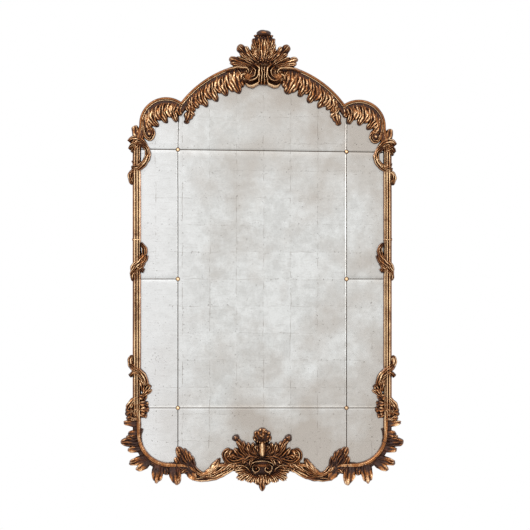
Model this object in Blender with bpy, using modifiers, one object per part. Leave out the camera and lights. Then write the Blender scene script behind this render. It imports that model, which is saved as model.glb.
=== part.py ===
"""Carved and gilded wall mirror with eleven antiqued panes.

Metres. x runs to the right, z up, and y back to the wall, where y is 0. The origin is the middle of the
flat back, at the height where the mirror is fixed. A place on the front is given as (u, z), where u runs
outwards from the middle line, and as a depth, which is the distance forwards from the wall.
"""
import math

import bmesh
import bpy

# Sight size and moulding
SIGHT_HALF_WIDTH = 0.475
RAIL_WIDTH = 0.033
RAIL_DEPTH = 0.046
GROOVE_DEPTH = 0.007
REBATE = 0.008

# Upper outline: two shoulders and the arch between them, by their outer edges
SHOULDER_RADIUS = 0.106
SHOULDER_INSET = 0.024
SHOULDER_Z = 0.063
ARCH_INSET = 0.073
ARCH_Z = -0.091

# The whole top sits a little askew on the rails, turned clockwise about the left rail at the upper joint
TOP_LEAN = math.radians(0.75)
LEAN_STARTS = 0.16

# Lower outline: two round corners by their sight edge, and a hollow on each side of the middle
CORNER_RADIUS = 0.114
CORNER_Z = -1.153
HOLLOW_U = 0.235
HOLLOW_WIDTH = 0.145
HOLLOW_DROP = 0.036

# Panes and what holds them
BACKBOARD_THICKNESS = 0.012
PANE_THICKNESS = 0.004
FIT_GAP = 0.0003
EDGE_PLAY = 0.0015
JOINT_GAP = 0.0015
SIDE_PANE_WIDTH = 0.144
UPPER_JOINT_Z = -0.036
MIDDLE_JOINT_Z = -0.546
LOWER_JOINT_Z = -1.052
ROSETTE_DIAMETER = 0.018
ROSETTE_HEIGHT = 0.008

# Flat steps that stand for each curve of the moulding
HOLLOW_STEPS = 6
CORNER_STEPS = 6
SWING_STEPS = 4
SHOULDER_STEPS = 7
ARCH_STEPS = 8

# Carving
LEAF_STATIONS = 4
LEAF_RISE = 0.022
FRINGE_FRONDS = 6
FRINGE_LENGTH = 0.092
SHOULDER_FRONDS = 4
CREST_HEIGHT = 0.145
CORNER_LEAF_REACH = 0.202
CARTOUCHE_WIDTH = 0.230
TUFT_HEIGHT = 0.078
PENDANT_LENGTH = 0.079
FLAT_WITHIN = math.radians(5)
UPPER_WRAP_Z = -0.045
MIDDLE_WRAP_Z = -0.470
LOWER_WRAP_Z = -0.930

GILDING = (0.32, 0.16, 0.06)
SILVERING = (0.72, 0.71, 0.68)
BOARD = (0.20, 0.13, 0.07)

PANE_BACK = BACKBOARD_THICKNESS + FIT_GAP
PANE_FRONT = PANE_BACK + PANE_THICKNESS
LIP_BACK = PANE_FRONT + FIT_GAP
RAIL_U = SIGHT_HALF_WIDTH + RAIL_WIDTH / 2
SHOULDER_U = SIGHT_HALF_WIDTH + RAIL_WIDTH - SHOULDER_INSET - SHOULDER_RADIUS
ARCH_RADIUS = SIGHT_HALF_WIDTH - ARCH_INSET
JOINT_U = SIGHT_HALF_WIDTH - SIDE_PANE_WIDTH
CORNER_U = SIGHT_HALF_WIDTH - CORNER_RADIUS
SILL_Z = CORNER_Z - CORNER_RADIUS - RAIL_WIDTH / 2
ARCH_TOP = ARCH_Z + ARCH_RADIUS


def lerp(a, b, share):
    return a + (b - a) * share


def polar(centre, radius, degrees):
    """The point at this radius, the angle measured from straight up towards the outside."""
    angle = math.radians(degrees)
    return centre[0] + radius * math.sin(angle), centre[1] + radius * math.cos(angle)


def lean(x, z):
    """A place on the straight, even mirror moved to where it lies with the top askew."""
    share = min(max(1 + (z - UPPER_JOINT_Z) / LEAN_STARTS, 0.0), 1.0)
    turn, right, up = TOP_LEAN * share, x + RAIL_U, z - UPPER_JOINT_Z
    return (
        right * math.cos(turn) + up * math.sin(turn) - RAIL_U,
        up * math.cos(turn) - right * math.sin(turn) + UPPER_JOINT_Z,
    )


def material(name, colour, metallic, roughness):
    made = bpy.data.materials.new(name)
    made.use_nodes = True
    shader = made.node_tree.nodes["Principled BSDF"]
    shader.inputs["Base Color"].default_value = (*colour, 1)
    shader.inputs["Metallic"].default_value = metallic
    shader.inputs["Roughness"].default_value = roughness
    return made


def mesh_object(name, bm, collection):
    bmesh.ops.recalc_face_normals(bm, faces=bm.faces)
    mesh = bpy.data.meshes.new(name)
    bm.to_mesh(mesh)
    bm.free()
    made = bpy.data.objects.new(name, mesh)
    collection.objects.link(made)
    return made


def loft(name, sections, collection, closed=False):
    """Joins sections with as many points each into one skin, and caps both ends unless it runs round."""
    bm = bmesh.new()
    rings = [[bm.verts.new(point) for point in section] for section in sections]
    count = len(rings[0])
    spans = len(rings) if closed else len(rings) - 1
    for i in range(spans):
        near, far = rings[i], rings[(i + 1) % len(rings)]
        for j in range(count):
            k = (j + 1) % count
            bm.faces.new((near[j], near[k], far[k], far[j]))
    if not closed:
        bm.faces.new(rings[0])
        bm.faces.new(rings[-1])
    bmesh.ops.triangulate(bm, faces=bm.faces)
    return mesh_object(name, bm, collection)


def dip_angles():
    """Where the middle lines of the shoulder and the arch cross, as an angle round each centre."""
    near, far = SHOULDER_RADIUS - RAIL_WIDTH / 2, ARCH_RADIUS - RAIL_WIDTH / 2
    span = math.hypot(SHOULDER_U, SHOULDER_Z - ARCH_Z)
    rise = math.degrees(math.atan2(SHOULDER_U, SHOULDER_Z - ARCH_Z))
    at_arch = math.degrees(math.acos((far**2 + span**2 - near**2) / (2 * far * span)))
    at_shoulder = math.degrees(math.acos((near**2 + span**2 - far**2) / (2 * near * span)))
    return rise + at_shoulder - 180, rise - at_arch


def half_path():
    """Middle line of the moulding from the bottom centre out and up to the top one: (u, z, roundness)."""
    path = [(0.0, SILL_Z, 1.0)]
    for i in range(HOLLOW_STEPS + 1):
        share = i / HOLLOW_STEPS
        drop = HOLLOW_DROP * (1 - math.cos(2 * math.pi * share)) / 2
        path.append((HOLLOW_U + HOLLOW_WIDTH * (share - 0.5), SILL_Z - drop, 1.0))
    radius = CORNER_RADIUS + RAIL_WIDTH / 2
    for i in range(CORNER_STEPS + 1):
        share = i / CORNER_STEPS
        path.append((*polar((CORNER_U, CORNER_Z), radius, 180 - 90 * share), 1 - share))
    for i in range(SWING_STEPS + 1):
        share = i / SWING_STEPS
        swing = SHOULDER_INSET * (1 - math.cos(math.pi * share)) / 2
        path.append((RAIL_U - swing, lerp(UPPER_WRAP_Z, SHOULDER_Z, share), share))
    shoulder_end, arch_start = dip_angles()
    radius = SHOULDER_RADIUS - RAIL_WIDTH / 2
    for i in range(1, SHOULDER_STEPS + 1):
        angle = lerp(90, shoulder_end, i / SHOULDER_STEPS)
        path.append((*polar((SHOULDER_U, SHOULDER_Z), radius, angle), 1.0))
    radius = ARCH_RADIUS - RAIL_WIDTH / 2
    for i in range(1, ARCH_STEPS + 1):
        path.append((*polar((0.0, ARCH_Z), radius, arch_start * (1 - i / ARCH_STEPS)), 1.0))
    return path


def full_path():
    """The whole middle line as (x, z, roundness), anticlockwise from the bottom centre."""
    half = half_path()
    return half + [(-u, z, roundness) for u, z, roundness in half[-2:0:-1]]


def offset_point(path, i, distance):
    """The point beside path point i, this far outwards, mitred where the path turns."""
    before, here, after = path[i - 1], path[i], path[(i + 1) % len(path)]
    ax, az = here[0] - before[0], here[1] - before[1]
    bx, bz = after[0] - here[0], after[1] - here[1]
    a, b = math.hypot(ax, az), math.hypot(bx, bz)
    nx, nz = az / a + bz / b, -ax / a - bx / b
    reach = 2 * distance / (nx**2 + nz**2)
    return here[0] + nx * reach, here[1] + nz * reach


def inside_rebate(play):
    """The outline of what lies in the rebate, with this much play to its wall."""
    path = full_path()
    distance = -RAIL_WIDTH / 2 + REBATE - play
    return [offset_point(path, i, distance) for i in range(len(path))]


def moulding_profile(roundness):
    """Across and depth pairs: three reeds on the rails, one round bead where roundness is 1."""
    groove = GROOVE_DEPTH * (1 - roundness)
    inner = -RAIL_WIDTH / 2
    return (
        (inner, LIP_BACK),
        (inner, LIP_BACK + 0.004),
        (-0.30 * RAIL_WIDTH, RAIL_DEPTH - 0.009 - groove / 2),
        (-0.16 * RAIL_WIDTH, RAIL_DEPTH),
        (0.02 * RAIL_WIDTH, RAIL_DEPTH - groove),
        (0.20 * RAIL_WIDTH, RAIL_DEPTH - 0.001),
        (0.36 * RAIL_WIDTH, RAIL_DEPTH - 0.007 - groove / 2),
        (0.50 * RAIL_WIDTH, LIP_BACK + 0.004),
        (0.50 * RAIL_WIDTH, 0.0),
        (inner + REBATE, 0.0),
        (inner + REBATE, LIP_BACK),
    )


def moulding(collection):
    path = full_path()
    sections = []
    for i, (_, _, roundness) in enumerate(path):
        section = []
        for across, depth in moulding_profile(roundness):
            x, z = offset_point(path, i, across)
            section.append((x, -depth, z))
        sections.append(section)
    return loft("frame", sections, collection, closed=True)


def bend(root, tip, bow):
    """A spine from root to tip that bows sideways by this share of its length, positive to the left."""
    du, dz = tip[0] - root[0], tip[1] - root[1]
    middle = (lerp(root[0], tip[0], 0.5) - 2 * bow * dz, lerp(root[1], tip[1], 0.5) + 2 * bow * du)
    spine = []
    for i in range(LEAF_STATIONS):
        s = i / (LEAF_STATIONS - 1)
        spine.append(tuple(
            (1 - s) ** 2 * root[k] + 2 * s * (1 - s) * middle[k] + s**2 * tip[k] for k in (0, 1)
        ))
    return spine


def leaf_section(centre, along, width, rise, ridges, dip):
    """Flat-backed section across a leaf, with one ridge, or two with a dip between them."""
    length = math.hypot(*along)
    across = (-along[1] / length, along[0] / length)
    if ridges == 1:
        rule = ((-1.0, 0.0), (0.0, 1.0), (1.0, 0.0))
    else:
        rule = ((-1.0, 0.0), (-0.5, 1.0), (0.0, 1.0 - dip), (0.5, 1.0), (1.0, 0.0))
    section = []
    for share, height in rule:
        x, z = centre[0] + across[0] * width * share, centre[1] + across[1] * width * share
        section.append((x, -LIP_BACK - rise * height, z))
    return section


def leaf(stock, spine, half_width, rise=LEAF_RISE, ridges=1, root=0.6, tip=0.35, both=True):
    """One carved leaf along a spine, and its mirror image on the other side."""
    last = len(spine) - 1
    sections = []
    for i, centre in enumerate(spine):
        s = i / last
        before, after = spine[max(i - 1, 0)], spine[min(i + 1, last)]
        along = (after[0] - before[0], after[1] - before[1])
        swell = math.sin(math.pi * s) ** 0.8 if 0 < s < 1 else 0.0
        width = half_width * (lerp(root, tip, s) + (1 - lerp(root, tip, s)) * swell)
        height = rise * (0.6 + 0.4 * math.sin(math.pi * (0.15 + 0.7 * s)))
        sections.append(leaf_section(centre, along, width, height, ridges, 0.5 * swell))
    for side in (1, -1) if both else (1,):
        placed = [[(side * x, y, z) for x, y, z in section] for section in sections]
        guide = loft("carving", placed, stock)
        guide.hide_render = True
        guide.display_type = "WIRE"


def boss(stock, centre, radius, rise, both=True, squash=1.0):
    """A round domed boss with eight sides, for a curl's eye or a ball."""
    for side in (1, -1) if both else (1,):
        sections = []
        for size, height in ((1.0, 0.0), (0.85, 0.7), (0.4, 1.0)):
            ring = []
            for k in range(8):
                angle = math.radians(22.5 + 45 * k)
                x = side * centre[0] + radius * size * math.cos(angle)
                z = centre[1] + radius * size * squash * math.sin(angle)
                ring.append((x, -LIP_BACK - rise * height, z))
            sections.append(ring)
        guide = loft("carving", sections, stock)
        guide.hide_render = True
        guide.display_type = "WIRE"


def rail_point(height):
    """A function that places points beside the rail: out from its middle and up from this height."""
    return lambda out, up: (RAIL_U + out, height + up)


def carve_fringe(stock):
    """Fronds that hang from the arch and the shoulders over the glass."""
    arch, shoulder = (0.0, ARCH_Z), (SHOULDER_U, SHOULDER_Z)
    _, dip = dip_angles()
    for k in range(FRINGE_FRONDS):
        share = k / (FRINGE_FRONDS - 1)
        angle = lerp(0.36 * dip, 0.95 * dip, share)
        length = lerp(FRINGE_LENGTH, 0.58 * FRINGE_LENGTH, share)
        root = polar(arch, ARCH_RADIUS - 0.45 * RAIL_WIDTH, angle + 2.5)
        tip = polar(arch, ARCH_RADIUS - 0.3 * RAIL_WIDTH - length, angle - 0.5)
        leaf(stock, bend(root, tip, 0.08), lerp(0.028, 0.021, share), 0.030, ridges=2, root=0.9, tip=0.4)
    dip_root = polar(arch, ARCH_RADIUS - 0.9 * RAIL_WIDTH, dip)
    dip_tip = (dip_root[0] - 0.004, dip_root[1] - 0.070)
    leaf(stock, bend(dip_root, dip_tip, -0.12), 0.021, 0.030, ridges=2, root=0.8)
    for k in range(SHOULDER_FRONDS):
        share = k / (SHOULDER_FRONDS - 1)
        root = polar(shoulder, SHOULDER_RADIUS - 0.6 * RAIL_WIDTH, lerp(-32, 68, share))
        tip = (SHOULDER_U + lerp(-0.043, 0.048, share), SHOULDER_Z + lerp(0.008, -0.022, share))
        leaf(stock, bend(root, tip, 0.10), 0.021, 0.030, ridges=2, root=1.0, tip=0.4)
    volute = (SHOULDER_U + 0.069, SHOULDER_Z - 0.036)
    boss(stock, volute, 0.026, 0.034)
    rail = rail_point(SHOULDER_Z)
    leaf(stock, bend(rail(0.004, -0.075), rail(0.012, -0.008), -0.1), 0.016, 0.026, root=0.8, tip=0.5)


def carve_wraps(stock):
    """Leaf bands tied round each rail at three heights."""
    rail = rail_point(UPPER_WRAP_Z)
    leaf(stock, bend(rail(-0.036, 0.022), rail(0.033, 0.034), 0.10), 0.021, 0.032, root=0.7, tip=0.6)
    leaf(stock, bend(rail(-0.020, 0.014), rail(0.027, 0.006), 0.1), 0.013, 0.030, tip=0.5)
    loop = [rail(-0.022, 0.020), rail(-0.044, 0.004), rail(-0.050, -0.026)]
    loop += [rail(-0.030, -0.058), rail(0.000, -0.078), rail(0.026, -0.092)]
    leaf(stock, loop, 0.014, 0.034, root=0.8, tip=0.5)
    leaf(stock, bend(rail(-0.004, -0.074), rail(0.019, -0.134), 0.15), 0.011, 0.028, tip=0.5)
    leaf(stock, bend(rail(0.000, -0.058), rail(0.021, -0.036), 0.1), 0.008, 0.028)
    rail = rail_point(MIDDLE_WRAP_Z)
    for k in range(3):
        drop = -0.040 * k
        spine = [rail(-0.022, 0.066 + drop), rail(-0.034, 0.036 + drop)]
        spine += [rail(-0.024, 0.010 + drop), rail(0.002, -0.008 + drop), rail(0.024, -0.026 + drop)]
        leaf(stock, spine, 0.015, 0.034, root=0.6, tip=0.6)
    rail = rail_point(LOWER_WRAP_Z)
    leaf(stock, bend(rail(0.010, 0.036), rail(0.026, 0.078), 0.10), 0.016, 0.028, root=0.7, tip=0.8)
    band = [rail(0.026, 0.058), rail(0.010, 0.026), rail(-0.016, 0.006), rail(-0.034, -0.026)]
    leaf(stock, band + [rail(-0.044, -0.056)], 0.016, 0.034, root=0.6, tip=0.8)
    leaf(stock, bend(rail(0.028, 0.006), rail(-0.024, -0.016), -0.12), 0.008, 0.032)
    leaf(stock, bend(rail(-0.006, -0.082), rail(-0.058, -0.056), 0.12), 0.011, 0.030)
    for k in range(4):
        leaf(
            stock, bend(rail(-0.008, -0.100 - 0.016 * k), rail(-0.045, -0.096 - 0.019 * k), 0.1),
            0.012, 0.032, tip=0.7,
        )
    boss(stock, rail(0.024, -0.140), 0.026, 0.034)


def carve_corners(stock):
    """Scalloped fans of leaves round the outside of each lower corner, and the tuft beside it."""
    centre = (CORNER_U, CORNER_Z)
    for angle, share, spread, count in (
        (77, 0.93, 14, 2), (99, 0.98, 22, 3), (128, 1.04, 30, 4), (164, 1.0, 24, 3), (188, 1.03, 22, 3)
    ):
        for k in range(count):
            off = lerp(-0.5, 0.5, k / (count - 1))
            reach = CORNER_LEAF_REACH * (share - 0.16 * abs(off))
            root = polar(centre, CORNER_RADIUS + 0.2 * RAIL_WIDTH, angle + 0.35 * off * spread)
            tip = polar(centre, reach, angle + 0.62 * off * spread)
            rise = lerp(0.025, 0.029, k / (count - 1))
            leaf(stock, bend(root, tip, -0.10 * off), 0.018, rise, root=0.9, tip=0.5)
    small = polar(centre, 0.93 * CORNER_LEAF_REACH, 208)
    leaf(stock, bend(polar(centre, 0.76 * CORNER_LEAF_REACH, 206), small, 0.1), 0.015, 0.024, tip=0.6)
    base = (CORNER_U - 0.057, SILL_Z - 0.012)
    for k in range(4):
        height = TUFT_HEIGHT * (1 - 0.14 * k)
        tip = (base[0] + lerp(0.024, -0.030, k / 3), base[1] + height)
        foot = (base[0] + lerp(0.012, -0.010, k / 3), base[1])
        leaf(stock, bend(foot, tip, lerp(-0.08, 0.1, k / 3)), 0.015, 0.030, root=0.9)


def carve_sill(stock):
    """Scrolling leaves between the hollows and the cartouche."""
    foot = (HOLLOW_U - 0.1 * HOLLOW_WIDTH, SILL_Z - HOLLOW_DROP)
    leaf(stock, bend(foot, (foot[0] - 0.050, foot[1] + 0.070), -0.18), 0.011, 0.028)
    sweep = (HOLLOW_U + 0.34 * HOLLOW_WIDTH, SILL_Z - 0.8 * HOLLOW_DROP)
    end = (CARTOUCHE_WIDTH / 2 - 0.005, SILL_Z - 0.028)
    leaf(stock, bend(sweep, end, 0.07), 0.023, 0.032, root=0.8, tip=0.8)
    start = (foot[0] - 0.035, foot[1] + 0.004)
    leaf(stock, bend(start, (foot[0] - 0.080, foot[1] + 0.060), -0.1), 0.014, 0.032)


def carve_cartouche(stock):
    """Shell cartouche at the bottom: a fleuron, curling leaves, two volutes, side shells and a pendant."""
    half = CARTOUCHE_WIDTH / 2
    heart = (0.0, SILL_Z + 0.014)
    boss(stock, (0.0, heart[1] + 0.010), 0.42 * CARTOUCHE_WIDTH, 0.040, both=False, squash=0.85)
    for k in range(5):
        tip = polar((0.0, heart[1] + 0.090), 0.045, lerp(-78, 78, k / 4))
        leaf(stock, bend((0.0, heart[1] + 0.075), tip, 0.0), 0.012, 0.040, both=False, tip=0.6)
    boss(stock, (0.0, heart[1] + 0.100), 0.013, 0.048, both=False)
    ridge = bend((0.0, heart[1] + 0.100), (0.0, heart[1] + 0.010), 0.0)
    leaf(stock, ridge, 0.017, 0.056, both=False, tip=0.8)
    for root, tip, width, bow in (
        ((0.50, 0.020), (0.94, 0.118), 0.016, 0.10),
        ((0.42, 0.030), (0.52, 0.102), 0.015, 0.06),
        ((0.62, 0.000), (1.22, 0.052), 0.019, 0.14),
        ((0.25, 0.030), (0.26, 0.095), 0.013, 0.04),
    ):
        start, end = (root[0] * half, heart[1] + root[1]), (tip[0] * half, heart[1] + tip[1])
        leaf(stock, bend(start, end, bow), width, 0.045, tip=0.75)
    leaf(stock, bend((0.0, heart[1] + 0.036), (0.46 * half, heart[1] + 0.018), 0.1), 0.011, 0.056, root=0.9)
    boss(stock, (0.028, heart[1] - 0.012), 0.026, 0.052)
    hinge = (0.46 * half, heart[1] - 0.004)
    for k in range(4):
        angle = lerp(118, 196, k / 3)
        root, tip = polar(hinge, 0.012, angle), polar(hinge, 0.060, angle)
        leaf(stock, bend(root, tip, 0.05), 0.014, 0.034, root=0.5, tip=0.7)
    for off in (-1, 0, 1):
        tip = (0.016 * off, SILL_Z - 0.020 - PENDANT_LENGTH * (1 - 0.35 * abs(off)))
        leaf(stock, bend((0.010 * off, SILL_Z - 0.022), tip, -0.05 * off), 0.012, 0.034, both=False)


def carve_crest(stock):
    """Palm of leaves over the arch: a tall middle leaf, two side leaves, scrolls and a fluted stem."""
    fan = (0.0, ARCH_TOP - 0.014)
    middle = bend(fan, (0.0, fan[1] + 0.98 * CREST_HEIGHT), 0.0)
    leaf(stock, middle, 0.030, 0.045, both=False, ridges=2, root=0.4, tip=0.75)
    boss(stock, (0.0, fan[1] + 0.90 * CREST_HEIGHT), 0.029, 0.054, both=False, squash=0.5)
    for start, end, width in (
        ((0.014, 0.44), (0.038, 0.80), 0.010),
        ((0.012, 0.36), (0.043, 0.64), 0.010),
        ((0.010, 0.28), (0.040, 0.50), 0.010),
    ):
        root, tip = (start[0], fan[1] + start[1] * CREST_HEIGHT), (end[0], fan[1] + end[1] * CREST_HEIGHT)
        leaf(stock, bend(root, tip, -0.1), width, 0.040, tip=0.6)
    for angle, share, width in ((52, 0.92, 0.022), (42, 0.72, 0.018), (32, 0.60, 0.015)):
        root, tip = polar(fan, 0.012, angle), polar(fan, share * CREST_HEIGHT, angle)
        leaf(stock, bend(root, tip, 0.06), width, 0.040, tip=0.6)
    for angle, share, width in ((78, 0.98, 0.015), (89, 0.95, 0.011)):
        root, tip = polar(fan, 0.030, angle - 20), polar(fan, share * CREST_HEIGHT, angle)
        leaf(stock, bend(root, tip, 0.10), width, 0.038, tip=0.6)
    eye = (0.062, fan[1] - 0.026)
    turns = [(0.030, fan[1]), (0.019, eye[1] + 0.002), (0.026, eye[1] - 0.022), (0.048, eye[1] - 0.032)]
    leaf(stock, turns + [(0.066, eye[1] - 0.026)], 0.009, 0.050, root=0.7, tip=0.8)
    boss(stock, eye, 0.018, 0.052)
    outer = bend((eye[0] + 0.004, eye[1] - 0.036), (eye[0] + 0.014, eye[1] + 0.024), 0.1)
    leaf(stock, outer, 0.016, 0.040, root=0.8, tip=0.8)
    lower = bend((0.012, eye[1] - 0.046), (0.072, eye[1] - 0.044), -0.10)
    leaf(stock, lower, 0.014, 0.044, root=0.5, tip=0.8)
    for off in (-1.5, -0.5, 0.5, 1.5):
        foot, head = (0.009 * off, eye[1] - 0.048), (0.011 * off, fan[1] + 0.006)
        leaf(stock, bend(foot, head, 0.0), 0.008, 0.046, both=False, root=0.8, tip=0.8)


def clipped(outline, axis, limit, keep_above):
    """The part of an outline on one side of a straight cut."""
    sign = 1 if keep_above else -1
    kept = []
    for here, after in zip(outline, outline[1:] + outline[:1]):
        a, b = sign * (here[axis] - limit), sign * (after[axis] - limit)
        if a >= 0:
            kept.append(here)
        if a * b < 0:
            share = a / (a - b)
            kept.append(tuple(lerp(here[k], after[k], share) for k in (0, 1)))
    return kept


def sheet(name, outline, back, thickness, finish, collection):
    """A flat sheet standing in the plane of the wall, cut to an outline."""
    curve = bpy.data.curves.new(name, "CURVE")
    curve.dimensions = "2D"
    curve.fill_mode = "BOTH"
    curve.extrude = thickness / 2
    spline = curve.splines.new("POLY")
    spline.points.add(len(outline) - 1)
    for point, place in zip(spline.points, outline):
        point.co = (*lean(*place), 0, 1)
    spline.use_cyclic_u = True
    made = bpy.data.objects.new(name, curve)
    made.rotation_euler = (math.pi / 2, 0, 0)
    made.location = (0, -back - thickness / 2, 0)
    collection.objects.link(made)
    curve.materials.append(finish)
    return made


def panes(finish, collection):
    outline = inside_rebate(EDGE_PLAY)
    half_gap = JOINT_GAP / 2
    joints = (UPPER_JOINT_Z, MIDDLE_JOINT_Z, LOWER_JOINT_Z)
    side_rows = (
        ("top", joints[0], None), ("upper", joints[1], joints[0]),
        ("lower", joints[2], joints[1]), ("bottom", None, joints[2]),
    )
    middle_rows = (("top", joints[0], None), ("centre", joints[2], joints[0]), ("bottom", None, joints[2]))
    columns = (
        ("left", None, -JOINT_U, side_rows),
        ("middle", -JOINT_U, JOINT_U, middle_rows),
        ("right", JOINT_U, None, side_rows),
    )
    for column, west, east, rows in columns:
        strip = outline
        if west is not None:
            strip = clipped(strip, 0, west + half_gap, True)
        if east is not None:
            strip = clipped(strip, 0, east - half_gap, False)
        for row, low, high in rows:
            cell = strip
            if low is not None:
                cell = clipped(cell, 1, low + half_gap, True)
            if high is not None:
                cell = clipped(cell, 1, high - half_gap, False)
            name = "pane_centre" if row == "centre" else f"pane_{row}_{column}"
            sheet(name, cell, PANE_BACK, PANE_THICKNESS, finish, collection)


def rosettes(finish, collection):
    """Small turned bosses over the places where the joints meet."""
    profile = ((0.0, 1.0), (0.42, 0.9), (0.6, 0.6), (0.9, 0.5), (1.0, 0.0), (0.0, 0.0))
    for row, z in (("upper", UPPER_JOINT_Z), ("middle", MIDDLE_JOINT_Z), ("lower", LOWER_JOINT_Z)):
        for side, x in (("left", -JOINT_U), ("right", JOINT_U)):
            mesh = bpy.data.meshes.new(f"rosette_{row}_{side}")
            points = [(ROSETTE_DIAMETER / 2 * r, 0, ROSETTE_HEIGHT * h) for r, h in profile]
            edges = [(i, i + 1) for i in range(len(points) - 1)]
            mesh.from_pydata(points, edges, [])
            made = bpy.data.objects.new(mesh.name, mesh)
            collection.objects.link(made)
            across, up = lean(x, z)
            made.location = (across, -PANE_FRONT - FIT_GAP, up)
            made.rotation_euler = (math.pi / 2, 0, 0)
            turn = made.modifiers.new("turn", "SCREW")
            turn.steps = turn.render_steps = 10
            turn.use_merge_vertices = True
            turn.merge_threshold = 0.00005
            turn.use_normal_flip = False
            mesh.materials.append(finish)


def shells(bm):
    """The connected skins of a mesh, each a list of faces."""
    left, found = set(bm.faces), []
    while left:
        reached = [left.pop()]
        for face in reached:
            near = {other for edge in face.edges for other in edge.link_faces} & left
            left -= near
            reached.extend(near)
        found.append(reached)
    return found


def signed_volume(faces):
    """Volume inside a skin of triangles, negative where the skin bounds a hollow."""
    return sum(a.co.dot(b.co.cross(c.co)) for a, b, c in (face.verts for face in faces)) / 6


def unite(frame, stock):
    """Joins the carving to the moulding as one solid, with the hollows between leaves filled."""
    join = frame.modifiers.new("carving", "BOOLEAN")
    join.operation = "UNION"
    join.operand_type = "COLLECTION"
    join.collection = stock
    join.solver = "EXACT"
    graph = bpy.context.evaluated_depsgraph_get()
    bm = bmesh.new()
    bm.from_mesh(frame.evaluated_get(graph).to_mesh())
    bmesh.ops.dissolve_limit(bm, angle_limit=FLAT_WITHIN, verts=bm.verts, edges=bm.edges)
    bmesh.ops.triangulate(bm, faces=bm.faces)
    for faces in shells(bm):
        if signed_volume(faces) < 0:
            bmesh.ops.delete(bm, geom=list({v for face in faces for v in face.verts}), context="VERTS")
    frame.modifiers.remove(join)
    for vertex in bm.verts:
        vertex.co.x, vertex.co.z = lean(vertex.co.x, vertex.co.z)
    bm.to_mesh(frame.data)
    bm.free()
    for guide in list(stock.objects):
        bpy.data.objects.remove(guide)
    bpy.data.collections.remove(stock)


def main():
    for old in list(bpy.data.objects):
        bpy.data.objects.remove(old)
    parts = bpy.data.collections.new("wall_mirror")
    stock = bpy.data.collections.new("carving_stock")
    for collection in (parts, stock):
        bpy.context.scene.collection.children.link(collection)
    gilding = material("antique gilding", GILDING, 0.9, 0.38)
    frame = moulding(parts)
    frame.data.materials.append(gilding)
    for carve in (carve_fringe, carve_wraps, carve_corners, carve_sill, carve_cartouche, carve_crest):
        carve(stock)
    unite(frame, stock)
    panes(material("antiqued mirror", SILVERING, 1.0, 0.15), parts)
    board = material("plywood", BOARD, 0.0, 0.6)
    sheet("backboard", inside_rebate(EDGE_PLAY), 0.0, BACKBOARD_THICKNESS, board, parts)
    rosettes(gilding, parts)


main()
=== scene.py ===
"""Looks of the carved and gilded wall mirror: detailed carving, antiqued glass, materials, light and camera.

Metres once a shape is made; the tables of the carving are in millimetres. x runs right, z up, y back to the
wall. A place on the front is (u, z), u running outwards from the middle line, with a depth forwards from the
wall. The layout below is the straight, even mirror; lean() then sets the top a little askew, as it hangs.
"""
import math

import bpy
import numpy as np
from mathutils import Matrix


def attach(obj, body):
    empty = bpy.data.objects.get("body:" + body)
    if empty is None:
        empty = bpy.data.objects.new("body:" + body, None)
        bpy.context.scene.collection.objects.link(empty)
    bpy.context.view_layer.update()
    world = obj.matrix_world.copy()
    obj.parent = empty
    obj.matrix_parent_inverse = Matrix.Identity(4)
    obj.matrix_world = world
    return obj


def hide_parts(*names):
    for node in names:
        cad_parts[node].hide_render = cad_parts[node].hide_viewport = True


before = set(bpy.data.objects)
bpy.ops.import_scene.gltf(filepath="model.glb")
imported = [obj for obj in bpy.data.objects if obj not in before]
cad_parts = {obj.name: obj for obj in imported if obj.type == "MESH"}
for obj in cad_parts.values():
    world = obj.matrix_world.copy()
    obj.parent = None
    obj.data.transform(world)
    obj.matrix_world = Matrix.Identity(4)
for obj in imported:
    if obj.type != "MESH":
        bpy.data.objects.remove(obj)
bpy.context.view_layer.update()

# The values that the solids were made from, in metres
SIGHT_HALF_WIDTH = 0.475
RAIL_WIDTH = 0.033
REBATE = 0.008
SHOULDER_RADIUS = 0.106
SHOULDER_INSET = 0.024
SHOULDER_Z = 0.063
ARCH_RADIUS = 0.402
ARCH_Z = -0.091
TOP_LEAN = math.radians(0.75)
LEAN_STARTS = 0.16
CORNER_RADIUS = 0.114
CORNER_Z = -1.153
HOLLOW_U = 0.235
HOLLOW_WIDTH = 0.145
HOLLOW_DROP = 0.036
PANE_BACK = 0.0123
PANE_FRONT = 0.0163
LIP_BACK = 0.0166
FIT_GAP = 0.0003
EDGE_PLAY = 0.0015
JOINT_GAP = 0.0015
JOINT_U = 0.331
UPPER_JOINT_Z = -0.036
MIDDLE_JOINT_Z = -0.546
LOWER_JOINT_Z = -1.052
UPPER_WRAP_Z = -0.045
ROSETTE_RADIUS = 0.009
ROSETTE_HEIGHT = 0.008

RAIL_U = SIGHT_HALF_WIDTH + RAIL_WIDTH / 2
SHOULDER_U = SIGHT_HALF_WIDTH + RAIL_WIDTH - SHOULDER_INSET - SHOULDER_RADIUS
CORNER_U = SIGHT_HALF_WIDTH - CORNER_RADIUS
SILL_Z = CORNER_Z - CORNER_RADIUS - RAIL_WIDTH / 2

# How finely a carved leaf, a boss and a pane are cut
ROWS = 30
COLUMNS = 19
BOSS_SIDES = 40
PANE_COLUMNS = 90
PANE_ROWS = 40

# A rosette's plate and dome, in millimetres
PLATE_HEIGHT = 3.6
DOME_RADIUS = 6.8

# Depth of the carving's flat back, in millimetres
BACK = LIP_BACK * 1000

# A pane's bevelled edge, in metres: its width and how far it falls
PANE_BEVEL = 0.003
PANE_FALL = 0.0008

# The height over which the lower front turns into the rail's, in metres
LOWER_FADE = 0.11

# How the silver leaf lies: squares to the metre, and how far their pattern is moved, in squares
SQUARES = 9.43
PATTERN_SHIFT = (-0.05, 0.0, 1.151)

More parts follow.
